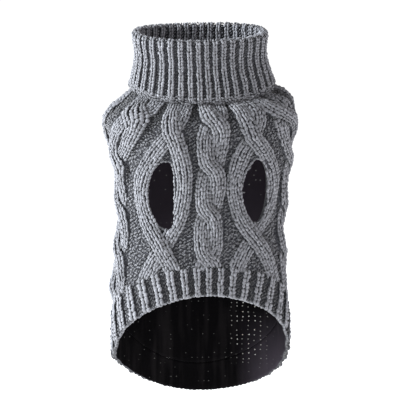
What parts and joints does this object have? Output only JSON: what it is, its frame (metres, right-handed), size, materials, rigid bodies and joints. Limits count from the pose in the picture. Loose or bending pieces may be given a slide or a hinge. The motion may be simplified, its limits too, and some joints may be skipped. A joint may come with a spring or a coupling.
{
  "type": "dog sweater",
  "caption": "Hollow cable-knit dog sweater in its worn form: tube body with leg openings, arched belly hem, long back and ribbed roll collar.",
  "frame": {"origin": "middle of the neck opening at the height of the neck seam, where the wearer's neck carries the sweater", "axes": "+Z towards the neck along the body, -Y towards the belly side with the leg openings, +X towards the right of that side as seen from in front"},
  "size_m": [0.1549, 0.1063, 0.2982],
  "materials": {
    "cable_knit": "soft heathered grey acrylic yarn, chunky stocking stitch cables over reverse stocking stitch",
    "rib_knit": "soft heathered grey acrylic yarn, ribbing"
  },
  "bodies": {
    "root": {"belly_panel": "cable_knit", "back_panel": "cable_knit", "belly_hem_band": "rib_knit", "back_hem_band": "rib_knit", "roll_collar": "rib_knit"}
  },
  "joints": []
}
